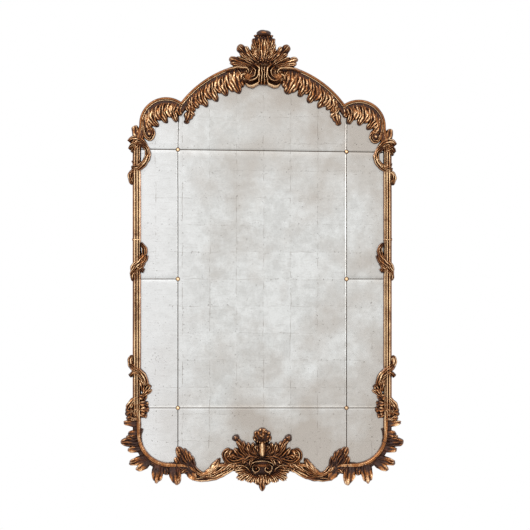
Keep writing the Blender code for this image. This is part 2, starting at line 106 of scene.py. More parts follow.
# The studio
FLOOR_Z = -1.75
CAMERA_DISTANCE = 12.0
CAMERA_X = 0.011
CAMERA_Z = -0.491
PICTURE_WIDTH = 2.083
SENSOR_WIDTH = 36


# Placing

def lean(points):
    """Turns each point clockwise about the left rail at the upper joint, by an angle that grows from 0 at
    LEAN_STARTS below the joint to TOP_LEAN at the joint and above."""
    turn = TOP_LEAN * np.clip(1 + (points[:, 2] - UPPER_JOINT_Z) / LEAN_STARTS, 0, 1)
    right, up = points[:, 0] + RAIL_U, points[:, 2] - UPPER_JOINT_Z
    return np.stack([
        right * np.cos(turn) + up * np.sin(turn) - RAIL_U,
        points[:, 1],
        up * np.cos(turn) - right * np.sin(turn) + UPPER_JOINT_Z,
    ], axis=1)


def line_through(points, count):
    """Curve through the points: on each span the cubic whose slope at a point is half the step between its
    two neighbours."""
    points = np.asarray(points, float)
    points = np.vstack([2 * points[0] - points[1], points, 2 * points[-1] - points[-2]])
    place = np.linspace(0, len(points) - 3, count)
    span = np.minimum(place.astype(int), len(points) - 4)
    t = (place - span)[:, None]
    a, b, c, d = (points[span + k] for k in range(4))
    return (2 * b + (c - a) * t + (2 * a - 5 * b + 4 * c - d) * t**2 + (3 * b - a - 3 * c + d) * t**3) / 2


def spiral(centre, start_radius, end_radius, start_angle, end_angle, count):
    """Points of a scroll: the radius falls evenly as the angle goes from start to end, in degrees
    anticlockwise from outwards."""
    share = np.linspace(0, 1, count)
    radius = start_radius + (end_radius - start_radius) * share
    angle = np.radians(start_angle + (end_angle - start_angle) * share)
    return np.stack([centre[0] + radius * np.cos(angle), centre[1] + radius * np.sin(angle)], axis=1)


def triangles(rows, around, ring_count):
    """Two triangles for each cell of a grid whose rows are closed loops."""
    i, j = np.meshgrid(np.arange(rows), np.arange(around), indexing="ij")
    k, below = (j + 1) % around, (i + 1) % ring_count
    a, b, c, d = i * around + j, i * around + k, below * around + k, below * around + j
    return np.stack([a, b, c, a, c, d], axis=-1).reshape(-1, 3)


def outwards(points, faces):
    """The faces turned so that the volume they bound is positive."""
    a, b, c = (points[faces[:, k]] for k in range(3))
    return faces if np.einsum("ij,ij->", a, np.cross(b, c)) > 0 else faces[:, ::-1]


def skin(rows, hollow):
    """A tube whose rows are closed loops, each end drawn in to the middle of its last loop."""
    count, around = rows.shape[:2]
    ring = np.arange(around)
    after, end = (ring + 1) % around, (count - 1) * around
    first, last = count * around, count * around + 1
    faces = np.vstack([
        triangles(count - 1, around, count),
        np.stack([np.full(around, first), after, ring], axis=1),
        np.stack([np.full(around, last), ring + end, after + end], axis=1),
    ])
    points = np.vstack([rows.reshape(-1, 3), rows[0].mean(0), rows[-1].mean(0)])
    return points, outwards(points, faces), np.append(hollow.ravel(), [hollow[0].mean(), hollow[-1].mean()])


def both_sides(shape):
    """The shape on the right, where x is u, and its mirror image on the left."""
    points, faces, hollow = shape
    return [shape, (points * [-1, 1, 1], faces[:, ::-1], hollow)]


# Carving

def unevenness(u, z, length, step):
    """Soft waves from -1 to 1 over the front, the mean of three sines whose crests are about length apart
    and run different ways; step shifts them."""
    k = 2 * math.pi / length
    return (np.sin(k * (0.9 * u + 0.5 * z) + step) + np.sin(k * (0.7 * z - 0.8 * u) + 2.3 * step)
            + np.sin(k * (0.3 * u - 1.2 * z) + 4.1 * step)) / 3


def leaf(line, half_width, rise, ribs=1, lobes=0, notch=0.3, sweep=0.0, root=0.6, belly=0.55, point=3.0,
         curl=0.0, groove=0.5, tip_shade=0.35, root_shade=0.0):
    """One carved leaf, a closed skin over a spine, in millimetres.

    s runs from root to tip and t across from -1 to 1. The half width is half_width times an envelope that
    swells as a quarter sine up to the belly and closes as the root of 1 - q^point beyond it, less a notch
    between lobes. The front stands off the flat back by rise times a rounded crown across t times ribs,
    |sin| of t with waves so that no two are alike, less the notches, plus a bump of height curl near the
    tip. With sweep the lines across point towards the tip, so lobes and the veins between them do too."""
    s = (1 - (1 - np.linspace(0, 1, ROWS)) ** 1.35)[:, None] * 0.998
    t = np.sin(np.linspace(-math.pi / 2, math.pi / 2, max(COLUMNS, 8 * ribs + 3)))[None, :]
    late = np.clip((s - belly) / (1 - belly), 0, 1)
    envelope = (root + (1 - root) * np.sin(math.pi / 2 * np.minimum(s / belly, 1))) * np.sqrt(1 - late**point)
    gap = (0.5 - 0.5 * np.cos(2 * math.pi * lobes * s)) ** 2.2
    width = half_width * envelope * (1 - notch * gap)
    dense = line_through(line, 200)
    slope = np.gradient(dense, axis=0)
    slope /= np.linalg.norm(slope, axis=1)[:, None]
    place = np.clip(s + sweep * np.abs(t) ** 1.5 * (1 - s), 0, 1)
    share = np.linspace(0, 1, 200)
    u, z, du, dz = (np.interp(place, share, values) for values in (*dense.T, *slope.T))
    own = line[0][0] + 0.6 * line[0][1]
    uneven = (0.34 / ribs) * np.sin(2 * math.pi * (1.1 * s + 0.9 * t) + own) * (1 - t**2) * (ribs > 1)
    rib = np.abs(np.sin(math.pi * ribs * (t + uneven + 1) / 2)) ** 0.7
    rib = rib * (0.86 + 0.14 * np.sin(2 * math.pi * 2.1 * s + 2.4 * ribs * t + own))
    crown = np.sqrt(1 - 0.72 * t**2)
    ending = np.sqrt(1 - np.clip((s - 0.80) / 0.20, 0, 1) ** 2.6)
    swell = 0.82 + 0.18 * np.sin(math.pi * (0.15 + 0.7 * s))
    bump = curl * np.exp(-((s - 0.84) / 0.11) ** 2) * (1 - 0.6 * t**2)
    carved = crown * (1 - groove + groove * rib) if ribs > 1 else crown * (1 - 0.25 * np.abs(t))
    height = (rise * swell * carved * (1 - 0.45 * gap * np.abs(t) ** 0.6) + bump) * ending
    front = np.stack([u - dz * t * width, -(BACK + height), z + du * t * width], axis=-1)
    # Painted shade, with the umber toning of the hollows: in the valleys between ribs, in the notches, at the
    # edges, at the root and towards the tip, plus an extra shade fading from the root; the crests stay light
    # as a painted highlight.
    valley = (1 - rib) * (1.0 if ribs > 1 else 0.3)
    shade = valley + 0.75 * gap * np.abs(t) ** 0.6 + 0.5 * t**6 + 0.45 * np.clip(1 - s / 0.22, 0, 1)
    shade = np.clip(root_shade * (1 - s) + shade + tip_shade * np.clip((s - 0.84) / 0.16, 0, 1) ** 1.5, 0, 1)
    columns = [int(np.argmin(np.abs(t[0] - edge))) for edge in (0.86, 0.0, -0.86)]
    behind = front[:, columns].copy()
    behind[..., 1] = -BACK
    rows = np.concatenate([front, behind], axis=1) / 1000
    return skin(rows, np.concatenate([shade, np.ones((ROWS, 3))], axis=1))


def boss(centre, radius, rise, petals=0, squash=1.0, cup=0.0, shade=0.2, back=BACK):
    """A round boss in millimetres: rings of radius r and height rise times the root of 1 - 0.92 r^2, less
    a cup in the middle; petals scallop the ring and groove the dome."""
    r = np.array([0.9, 1.0, 0.985, 0.95, 0.9, 0.82, 0.72, 0.6, 0.47, 0.34, 0.22, 0.1, 0.03])[:, None]
    angle = np.linspace(0, 2 * math.pi, BOSS_SIDES, endpoint=False)[None, :]
    wave = np.abs(np.sin(petals * angle / 2)) ** 0.6 if petals else np.ones_like(angle)
    reach = radius * r * (1 - 0.16 * (1 - wave) * r)
    height = rise * np.sqrt(np.clip(1 - 0.92 * r**2, 0, 1)) * (1 - 0.3 * (1 - wave) * r * (1 - r) * 4)
    height = height - cup * rise * np.exp(-((r / 0.3) ** 2))
    height[0] = 0
    points = np.stack([
        centre[0] + reach * np.cos(angle), -(back + height), centre[1] + squash * reach * np.sin(angle)
    ], axis=-1) / 1000
    # Painted shade: the given shade, more between petals, at the rim and in the cup.
    dark = shade + 0.8 * (1 - wave) * (r > 0.2) + 0.7 * r**6 + cup * np.exp(-((r / 0.3) ** 2))
    return skin(points, np.clip(dark * np.ones_like(angle), 0, 1))


def fan(root, tip, half_width, rise, ribs, neck=0.5, scallop=0.07, rounded=0.12, curl=7.0, groove=0.5,
        tip_shade=0.25, root_shade=0.0):
    """A shell-like leaf in millimetres: ribs that spread from a neck to a scalloped, upturned end.

    s runs along the ribs and t across from -1 to 1. A place is at an angle in step with t from the line root
    to tip, at a radius that grows from the neck to the full length, less scallop between ribs and rounded
    times t^2 at the sides. The front stands off the back by rise times a crown across t times the ribs,
    |sin| of t, plus a bump of height curl before the end."""
    root, tip = np.array(root, float), np.array(tip, float)
    reach = np.linalg.norm(tip - root) / (1 - neck)
    along = (tip - root) / np.linalg.norm(tip - root)
    start = tip - along * reach
    s = (1 - (1 - np.linspace(0, 1, ROWS)) ** 1.35)[:, None]
    t = np.sin(np.linspace(-math.pi / 2, math.pi / 2, 8 * ribs + 1))[None, :]
    own = root[0] + 0.6 * root[1]
    uneven = (0.30 / ribs) * np.sin(2 * math.pi * (0.8 * s + 0.7 * t) + own) * (1 - t**2)
    rib = np.abs(np.sin(math.pi * ribs * (t + uneven + 1) / 2)) ** 0.5
    rib = np.where(np.abs(t) > 1 - 0.5 / ribs, np.maximum(rib, 0.25), rib)
    radius = reach * (neck + (1 - neck) * s) * (1 - (scallop * (1 - rib) + rounded * t**2) * s**2)
    angle = math.asin(half_width / reach) * t
    u = start[0] + radius * (along[0] * np.cos(angle) - along[1] * np.sin(angle))
    z = start[1] + radius * (along[1] * np.cos(angle) + along[0] * np.sin(angle))
    ending = np.sqrt(1 - np.clip((s - 0.84) / 0.16, 0, 1) ** 2.4)
    height = rise * (0.62 + 0.38 * np.sin(math.pi * (0.05 + 0.75 * s))) * np.sqrt(1 - 0.6 * t**2)
    height = (height * (1 - groove + groove * rib) + curl * rib * np.exp(-((s - 0.86) / 0.10) ** 2)) * ending
    front = np.stack([u, -(BACK + height), z], axis=-1)
    # Painted shade, with the umber toning of the hollows: in the grooves between ribs, at the sides, over the
    # neck and towards the end, plus an extra shade fading from the root; the crests stay light as a painted
    # highlight.
    shade = root_shade * (1 - s) + 1.1 * (1 - rib) + 0.4 * t**6 + 0.75 * np.clip(1 - s / 0.6, 0, 1)
    shade = np.clip(shade + tip_shade * np.clip((s - 0.86) / 0.14, 0, 1), 0, 1)
    count = t.shape[1]
    columns = [count - 2, count // 2, 1]
    behind = np.stack([u[:, columns], np.full((ROWS, 3), -BACK), z[:, columns]], axis=-1)
    rows = np.concatenate([front, behind], axis=1) / 1000
    return skin(rows, np.concatenate([shade, np.ones((ROWS, 3))], axis=1))


# Moulding

def arc(centre, radius, start, end, count):
    """Points at this radius, the angle in degrees from straight up towards the outside."""
    angle = np.radians(np.linspace(start, end, count))
    return np.stack([centre[0] + radius * np.sin(angle), centre[1] + radius * np.cos(angle)], axis=1)


def dip_angles():
    """Where the middle lines of the shoulder and the arch cross, as an angle round each centre."""
    near, far = SHOULDER_RADIUS - RAIL_WIDTH / 2, ARCH_RADIUS - RAIL_WIDTH / 2
    span = math.hypot(SHOULDER_U, SHOULDER_Z - ARCH_Z)
    rise = math.degrees(math.atan2(SHOULDER_U, SHOULDER_Z - ARCH_Z))
    at_arch = math.degrees(math.acos((far**2 + span**2 - near**2) / (2 * far * span)))
    at_shoulder = math.degrees(math.acos((near**2 + span**2 - far**2) / (2 * near * span)))
    return rise + at_shoulder - 180, rise - at_arch


def moulding_line():
    """Middle line of the moulding, anticlockwise from the bottom centre: hollow, corner, rail, swing,
    shoulder and arch in turn. With it, for each point, the upper front's share of the profile and the lower
    front's; the rail's is the rest."""
    share = np.linspace(0, 1, 41)
    drop = HOLLOW_DROP * (1 - np.cos(2 * math.pi * share)) / 2
    hollow = np.stack([HOLLOW_U + HOLLOW_WIDTH * (share - 0.5), SILL_Z - drop], axis=1)
    corner = arc((CORNER_U, CORNER_Z), CORNER_RADIUS + RAIL_WIDTH / 2, 180, 90, 49)
    rail = np.stack([np.full(25, RAIL_U), np.linspace(CORNER_Z, UPPER_WRAP_Z, 27)[1:-1]], axis=1)
    share = np.linspace(0, 1, 17)
    swing = SHOULDER_INSET * (1 - np.cos(math.pi * share)) / 2
    swing = np.stack([RAIL_U - swing, UPPER_WRAP_Z + (SHOULDER_Z - UPPER_WRAP_Z) * share], axis=1)
    shoulder_end, arch_start = dip_angles()
    shoulder = arc((SHOULDER_U, SHOULDER_Z), SHOULDER_RADIUS - RAIL_WIDTH / 2, 90, shoulder_end, 49)[1:]
    arch = arc((0.0, ARCH_Z), ARCH_RADIUS - RAIL_WIDTH / 2, arch_start, 0, 65)[1:]
    line = np.vstack([[[0.0, SILL_Z]], hollow, corner, rail, swing, shoulder, arch])
    foot = 1 + len(hollow) + len(corner)
    top = len(shoulder) + len(arch)
    upper = np.concatenate([np.zeros(foot + len(rail)), share, np.ones(top)])
    up_rail = np.clip(1 - (rail[:, 1] - CORNER_Z) / LOWER_FADE, 0, 1)
    lower = np.concatenate([np.ones(foot), up_rail, np.zeros(len(swing) + top)])
    line = np.vstack([line, line[-2:0:-1] * [-1, 1]])
    upper, lower = np.append(upper, upper[-2:0:-1]), np.append(lower, lower[-2:0:-1])
    return line, upper, lower


def mitred(line):
    """At each point of a closed line, the step that moves the lines on both sides of it outwards by one: the
    sum of their two normals, times 2 over its own square."""
    ahead = np.roll(line, -1, axis=0) - line
    ahead /= np.linalg.norm(ahead, axis=1)[:, None]
    before = np.roll(ahead, 1, axis=0)
    normal = np.stack([ahead[:, 1] + before[:, 1], -ahead[:, 0] - before[:, 0]], axis=1)
    return normal * (2 / (normal**2).sum(1))[:, None]


# Across, depth and painted shade of each place, from the sight edge over the front to the outer edge, in mm:
# high in the grooves and on the ground under the leaves, low on the reed crests as a painted highlight
RAIL_FRONT = (
    (-16.5, 20.5, 0.7), (-14.8, 28.5, 0.5), (-12.8, 36.0, 0.25), (-10.4, 39.6, 0.0), (-8.0, 38.4, 0.35),
    (-6.5, 36.0, 1.0), (-5.0, 41.5, 0.35), (-1.8, 46.0, 0.0), (1.5, 41.8, 0.35), (2.9, 37.0, 1.0),
    (4.4, 41.2, 0.35), (7.4, 44.4, 0.05), (10.6, 42.2, 0.35), (12.2, 37.5, 0.95), (13.8, 36.2, 0.5),
    (16.0, 33.0, 0.55), (16.5, 26.0, 0.85), (16.5, 4.0, 1.0),
)
UPPER_FRONT = (
    (-16.5, 20.5, 0.9), (-15.2, 28.0, 0.8), (-13.2, 33.0, 0.75), (-10.5, 36.0, 0.7), (-8.0, 37.2, 0.7),
    (-6.0, 37.8, 0.85), (-3.0, 37.8, 1.0), (0.5, 37.2, 1.0), (2.0, 38.5, 1.0), (3.6, 42.6, 0.05),
    (5.0, 43.4, 0.0), (6.2, 41.4, 0.75), (8.0, 43.8, 0.5), (10.6, 45.4, 0.4), (13.6, 43.0, 0.5),
    (15.8, 37.0, 0.7), (16.5, 26.0, 0.85), (16.5, 4.0, 1.0),
)
LOWER_FRONT = (
    (-16.5, 20.5, 0.8), (-15.8, 29.0, 0.6), (-14.0, 36.5, 0.5), (-10.8, 40.8, 0.25), (-7.0, 42.0, 0.45),
    (-4.0, 41.6, 0.25), (-1.2, 39.2, 0.6), (0.8, 35.0, 1.0), (2.2, 32.4, 1.0), (3.6, 31.2, 1.0),
    (5.0, 30.8, 1.0), (6.8, 30.4, 1.0), (8.8, 30.2, 1.0), (10.8, 30.0, 1.0), (12.8, 29.4, 1.0),
    (15.2, 27.0, 1.0), (16.5, 22.0, 1.0), (16.5, 4.0, 1.0),
)


def moulding():
    """The profile carried round the line: each place blends the rail, upper and lower fronts by its shares,
    and the back is flat with the rebate cut into its inner side."""
    line, upper, lower = moulding_line()
    fronts = [line_through(front, 60) for front in (RAIL_FRONT, UPPER_FRONT, LOWER_FRONT)]
    shares = np.stack([1 - upper - lower, upper, lower])
    front = np.einsum("kn,kpc->npc", shares, np.array(fronts))
    edge, rebate = 1000 * RAIL_WIDTH / 2, 1000 * (RAIL_WIDTH / 2 - REBATE)
    behind = np.array([(edge, 0.0, 1.0), (-rebate, 0.0, 1.0), (-rebate, BACK, 1.0), (-edge, BACK, 1.0)])
    profile = np.concatenate([front, np.broadcast_to(behind, (len(line), 4, 3))], axis=1)
    place = line[:, None, :] + mitred(line)[:, None, :] * profile[:, :, [0]] / 1000
    points = np.stack([place[..., 0], -profile[..., 1] / 1000, place[..., 1]], axis=-1)
    count, around = points.shape[:2]
    points = points.reshape(-1, 3)
    return points, outwards(points, triangles(count, around, count)), profile[..., 2].ravel()


# The carving, region by region, in millimetres

def fringe():
    """Fronds that hang from the arch and the shoulders over the glass, the leaf in the dip, the volutes."""
    shapes = []
    for root, middle, tip, width, ribs in (
        ((115, 280), (114, 237), (90, 187), 20, 3), ((134, 270), (132, 233), (113, 192), 15, 2),
        ((89, 280), (89, 245), (81, 210), 13, 2),
        ((158, 258), (159, 217), (141, 176), 15, 3), ((176, 250), (180, 212), (159, 188), 13, 2),
        ((195, 237), (199, 196), (177, 153), 15, 3), ((214, 226), (220, 188), (198, 163), 13, 2),
        ((234, 212), (239, 172), (217, 132), 14, 3), ((250, 201), (255, 166), (235, 141), 12, 2),
        ((265, 186), (271, 155), (250, 127), 12, 2), ((282, 166), (284, 139), (265, 114), 11, 2),
        ((337, 145), (350, 110), (335, 71), 13, 3), ((358, 151), (370, 116), (356, 88), 12, 2),
        ((386, 149), (394, 106), (374, 67), 14, 3), ((407, 143), (415, 103), (396, 76), 12, 2),
        ((434, 127), (436, 86), (409, 51), 14, 3), ((450, 112), (450, 77), (429, 54), 12, 2),
        ((317, 141), (329, 118), (318, 97), 11, 2),
    ):
        shapes += both_sides(leaf([root, middle, tip], width * 1.22, 24 + 0.36 * width, ribs=ribs, root=0.9,
                                  belly=0.4, point=2.6, curl=5, groove=0.55, tip_shade=0.9))
    shapes += both_sides(leaf([(296, 156), (286, 117), (301, 65)], 19, 31, ribs=3, lobes=3, notch=0.3,
                              sweep=0.1, root=0.7, curl=5, tip_shade=0.7))
    shapes += both_sides(leaf([(302, 136), (286, 117), (268, 95)], 11, 30, ribs=2, curl=3, tip_shade=0.7))
    shapes += both_sides(leaf([(467, 110), (469, 75), (467, 40), (455, 10), (436, 5), (426, 26), (436, 44),
                              (452, 38), (452, 24)], 8, 33, ribs=2, root=0.9, belly=0.5, tip_shade=0.2))
    shapes += both_sides(leaf([(457, 103), (454, 71), (444, 46), (426, 34)], 12, 29, ribs=2, root=0.9,
                              curl=3, tip_shade=0.7))
    shapes += both_sides(boss((446, 24), 25, 24, shade=0.75))
    shapes += both_sides(boss((444, 24), 9, 36, shade=0.05))
    shapes += both_sides(leaf([(483, -12), (494, 24), (502, 57)], 16, 25, ribs=2, root=0.8, point=3.5,
                              curl=3, tip_shade=0.2))
    return shapes


def wraps():
    """Leaf bands tied round each rail at three heights."""
    shapes = []
    bands = (
        # the ruffled band, the vine that loops over the glass, its curl and the leaf end, under each shoulder
        ([(522, -10), (510, 2), (492, 4), (472, -6), (450, -28)], 14, 37, 3, 0.7),
        ([(522, -37), (508, -21), (488, -13), (465, -22)], 11, 38, 3, 0.6),
        ([(514, -49), (500, -35), (480, -28)], 8, 35, 2, 0.6),
        ([(474, -16), (453, -34), (447, -59), (457, -86), (480, -110), (514, -131)], 12, 40, 3, 0.8),
        ([(454, -39), (453, -67), (470, -93), (492, -100), (511, -83)], 9, 37, 2, 0.8),
        ([(512, -108), (486, -104), (462, -83)], 8, 42, 2, 0.8),
        ([(484, -114), (509, -127), (516, -149), (509, -177)], 12, 31, 3, 0.6),
        # the twisted leaves at mid height
        ([(475, -405), (461, -428), (466, -457), (488, -481), (506, -499), (510, -523)], 13, 38, 3, 0.4),
        ([(454, -452), (466, -477), (486, -494), (505, -514), (512, -540)], 12, 40, 3, 0.9),
        ([(463, -515), (480, -505), (496, -514), (508, -531), (509, -554)], 11, 37, 3, 0.9),
        ([(462, -483), (479, -501), (496, -509)], 9, 41, 2, 0.8),
        # the knot of leaves low on the rail
        ([(517, -884), (494, -900), (470, -920), (458, -945), (451, -972)], 13, 39, 3, 0.8),
        ([(488, -909), (509, -891), (516, -869), (513, -843)], 13, 31, 3, 0.7),
        ([(520, -927), (500, -913), (479, -924), (466, -943), (465, -975)], 10, 38, 3, 0.9),
        ([(484, -935), (470, -959), (468, -990)], 10, 35, 2, 0.7),
        ([(439, -961), (452, -978), (470, -1002)], 11, 36, 2, 0.9),
        ([(472, -1008), (453, -994), (432, -980)], 9, 34, 2, 0.9),
    )
    for line, width, rise, ribs, root in bands:
        shapes += both_sides(leaf(line, width, rise, ribs=ribs, root=root, belly=0.4, point=4, groove=0.5,
                                  curl=2))
    for root, tip, width in (
        ((496, -998), (453, -1017), 16), ((496, -1030), (446, -1038), 15), ((496, -1053), (443, -1060), 15),
        ((492, -1069), (451, -1084), 13), ((508, -1014), (484, -1045), 15),
    ):
        shapes += both_sides(leaf([root, tip], width, 31, ribs=2, lobes=2, notch=0.2, sweep=0.2, root=0.8,
                                  point=5, curl=6, tip_shade=0.3))
    shapes += both_sides(boss((514, -872), 12, 29, squash=2.2, shade=0.7))
    shapes += both_sides(boss((514, -1067), 26, 27, petals=6, shade=0.45))
    shapes += both_sides(boss((510, -1065), 12, 34, petals=4, shade=0.2))
    for line, width in (
        ([(484, -1010), (504, -1020), (523, -1040), (530, -1061)], 10),
        ([(488, -1030), (508, -1038), (520, -1053)], 9),
        ([(484, -1093), (509, -1095), (528, -1078)], 8), ([(480, -1053), (496, -1065), (501, -1086)], 9),
    ):
        shapes += both_sides(leaf(line, width, 33, ribs=2, root=0.8, belly=0.4, curl=3, tip_shade=0.3))
    shapes += both_sides(leaf([(509, -392), (492, -391), (475, -392)], 6, 31, root=0.9, belly=0.3, point=6))
    return shapes


def corners():
    """Shell-like leaves that fold outwards round each lower corner, and the tuft beside it."""
    shapes = []
    for root, tip, half_width, ribs, rise in (
        ((476, -1115), (548, -1109), 20, 2, 27), ((476, -1151), (530, -1153), 21, 2, 25),
        ((468, -1208), (532, -1218), 21, 2, 28), ((445, -1246), (527, -1271), 26, 2, 29),
        ((437, -1258), (496, -1298), 25, 2, 26), ((403, -1265), (417, -1350), 36, 3, 29),
        ((347, -1265), (335, -1357), 38, 3, 30), ((299, -1277), (259, -1339), 28, 2, 27),
    ):
        shapes += both_sides(fan(root, tip, half_width, rise, ribs, groove=0.3, scallop=0.05, rounded=0.32,
                                 tip_shade=0.4, root_shade=0.8))
    for line, width, ribs, rise in (
        ([(471, -1183), (504, -1189), (531, -1185), (555, -1188)], 18, 3, 30),
        ([(480, -1100), (508, -1093), (535, -1091)], 11, 2, 30),
        ([(476, -1170), (504, -1171), (534, -1163)], 11, 2, 29),
        ([(382, -1269), (376, -1293), (378, -1317)], 13, 2, 22),
        ([(445, -1246), (484, -1255), (520, -1269)], 8, 1, 33),
        ([(398, -1269), (406, -1309), (413, -1346)], 9, 1, 31),
        ([(335, -1273), (329, -1313), (329, -1354)], 9, 1, 32),
        ([(276, -1305), (307, -1254), (333, -1204)], 20, 3, 32),
        ([(280, -1289), (294, -1246), (307, -1209)], 11, 2, 35),
        ([(276, -1293), (282, -1258), (290, -1221)], 10, 2, 33),
        ([(268, -1297), (270, -1269), (277, -1240)], 10, 2, 31),
        ([(292, -1305), (323, -1277), (339, -1242)], 14, 2, 29),
        ([(292, -1281), (319, -1246), (325, -1221)], 8, 2, 36),
        ([(241, -1317), (272, -1301), (299, -1293), (323, -1309)], 12, 3, 30),
        ([(457, -1226), (441, -1254), (410, -1273), (370, -1281)], 8, 2, 24),
        ([(472, -1132), (480, -1167), (472, -1203)], 8, 2, 24),
    ):
        shapes += both_sides(leaf(line, width, rise, ribs=ribs, root=0.8, curl=6, tip_shade=0.25,
                                  root_shade=0.95))
    return shapes


def sill():
    """Scrolling leaves along the hollows and on to the cartouche."""
    shapes = []
    for line, width, ribs, rise in (
        ([(288, -1250), (270, -1281), (248, -1306), (221, -1313), (193, -1297), (175, -1276),
          (167, -1247)], 11, 3, 32),
        ([(292, -1313), (260, -1330), (221, -1330), (182, -1323), (142, -1305), (103, -1281)], 11, 2, 29),
        ([(237, -1320), (197, -1317), (162, -1299), (130, -1276), (95, -1260)], 13, 3, 32),
        ([(225, -1313), (195, -1291), (167, -1251)], 15, 2, 30),
        ([(209, -1301), (193, -1280), (187, -1264)], 7, 2, 29),
        ([(221, -1307), (207, -1293), (204, -1280)], 6, 1, 27),
        ([(170, -1301), (150, -1285), (140, -1258)], 10, 2, 33),
        ([(150, -1293), (128, -1277), (119, -1254)], 10, 2, 32),
        ([(134, -1301), (115, -1287), (99, -1262)], 11, 2, 33),
    ):
        shapes += both_sides(leaf(line, width, rise, ribs=ribs, root=0.7, belly=0.5, curl=3, tip_shade=0.5))
    return shapes


def cartouche():
    """Shell cartouche at the bottom: a fleuron, curling leaves, two volutes, side shells and a pendant."""
    # The first bosses are a ground in painted shadow behind the carving.
    shapes = [
        boss((0, -1262), 96, 24, squash=0.74, shade=1.0), boss((0, -1218), 44, 34, squash=0.8, shade=0.9),
        boss((0, -1163), 31, 32, squash=1.04, shade=0.95),
    ]
    for foot, head, width in (((0, -1183), (0, -1128), 18), ((12, -1183), (22, -1139), 15),
                              ((-12, -1183), (-22, -1139), 15), ((18, -1187), (30, -1157), 12),
                              ((-18, -1187), (-30, -1157), 12)):
        shapes.append(leaf([foot, head], width, 34, ribs=2, root=0.8, point=3.5, curl=5, tip_shade=0.9,
                           root_shade=0.7))
    shapes.append(boss((0, -1160), 17, 50, squash=0.9, petals=3, shade=0.2))
    for off in (-3, -2, -1, 0, 1, 2, 3):
        shapes.append(boss((9.4 * off, -1185 + 0.9 * off * off), 5.6, 47, shade=0.1))
    shapes.append(leaf([(0, -1183), (0, -1210), (0, -1248)], 19, 53, root=0.5, belly=0.5, point=2.2,
                       tip_shade=0))
    for line, width, ribs, rise in (
        ([(41, -1254), (73, -1222), (87, -1191), (103, -1171)], 14, 2, 40),
        ([(65, -1230), (84, -1199), (98, -1179)], 7, 1, 44),
        ([(57, -1258), (88, -1238), (110, -1208)], 13, 2, 40),
        ([(49, -1242), (70, -1210), (75, -1181)], 11, 2, 45),
        ([(29, -1250), (51, -1218), (55, -1185)], 11, 2, 46),
        ([(22, -1242), (37, -1214), (36, -1187)], 9, 2, 47),
        ([(15, -1238), (23, -1213), (22, -1193)], 8, 2, 46),
        ([(41, -1262), (69, -1250), (100, -1262), (129, -1256), (143, -1238), (136, -1222),
          (120, -1226)], 17, 4, 42),
        ([(57, -1277), (84, -1272), (112, -1273)], 12, 2, 38),
        ([(88, -1252), (112, -1242), (126, -1248)], 11, 2, 46),
        ([(0, -1243), (26, -1246), (44, -1260), (51, -1281)], 8, 2, 51),
        ([(22, -1242), (55, -1248), (81, -1272)], 11, 2, 47),
        ([(45, -1269), (73, -1272), (100, -1293)], 10, 2, 43),
    ):
        shapes += both_sides(leaf(line, width, rise, ribs=ribs, root=0.8, belly=0.5, curl=5, tip_shade=0.3,
                                  root_shade=0.3))
    shapes += both_sides(boss((103, -1169), 15, 41, shade=0.9))
    shapes += both_sides(boss((103, -1168), 11, 47, petals=3, shade=0.3))
    shapes += both_sides(boss((129, -1236), 29, 38, petals=5, squash=0.86, shade=0.15))
    shapes += both_sides(boss((124, -1240), 11, 47, squash=0.86, shade=0.2))
    eye = (22, -1288)
    # A disc in painted shadow behind each volute.
    shapes += both_sides(boss(eye, 25, 26, shade=1.0))
    shapes += both_sides(leaf(spiral(eye, 20, 6, 100, -300, 20), 5, 46, root=0.7, belly=0.3, tip_shade=0))
    shapes += both_sides(boss(eye, 7, 44, shade=0.25))
    shapes.append(leaf([(-47, -1285), (-39, -1266), (0, -1257), (39, -1266), (47, -1285)], 4.2, 51,
                       root=0.9, belly=0.3, point=6, tip_shade=0))
    for root, tip, half_width, ribs in (
        ((44, -1285), (115, -1295), 21, 4), ((41, -1299), (100, -1331), 21, 4),
        ((33, -1307), (62, -1343), 21, 4),
        ((18, -1313), (28, -1350), 18, 3),
    ):
        shapes += both_sides(fan(root, tip, half_width, 31, ribs, curl=5))
    shapes += both_sides(leaf([(48, -1299), (59, -1284), (82, -1275), (108, -1282)], 5, 42, root=0.8,
                              tip_shade=0))
    for place in ((28, -1306), (12, -1314), (0, -1317), (-12, -1314), (-28, -1306)):
        shapes.append(boss(place, 6, 42, shade=0.1))
    for off, width in ((-1, 12), (1, 12), (0, 15)):
        spine = [(off * 6, -1313), (off * 15, -1340), (off * 17, -1380 + 24 * abs(off))]
        shapes.append(leaf(spine, width, 30 + 6 * (off == 0), ribs=2, root=0.9, belly=0.5, point=1.8,
                           curl=4, tip_shade=0.3))
    return shapes


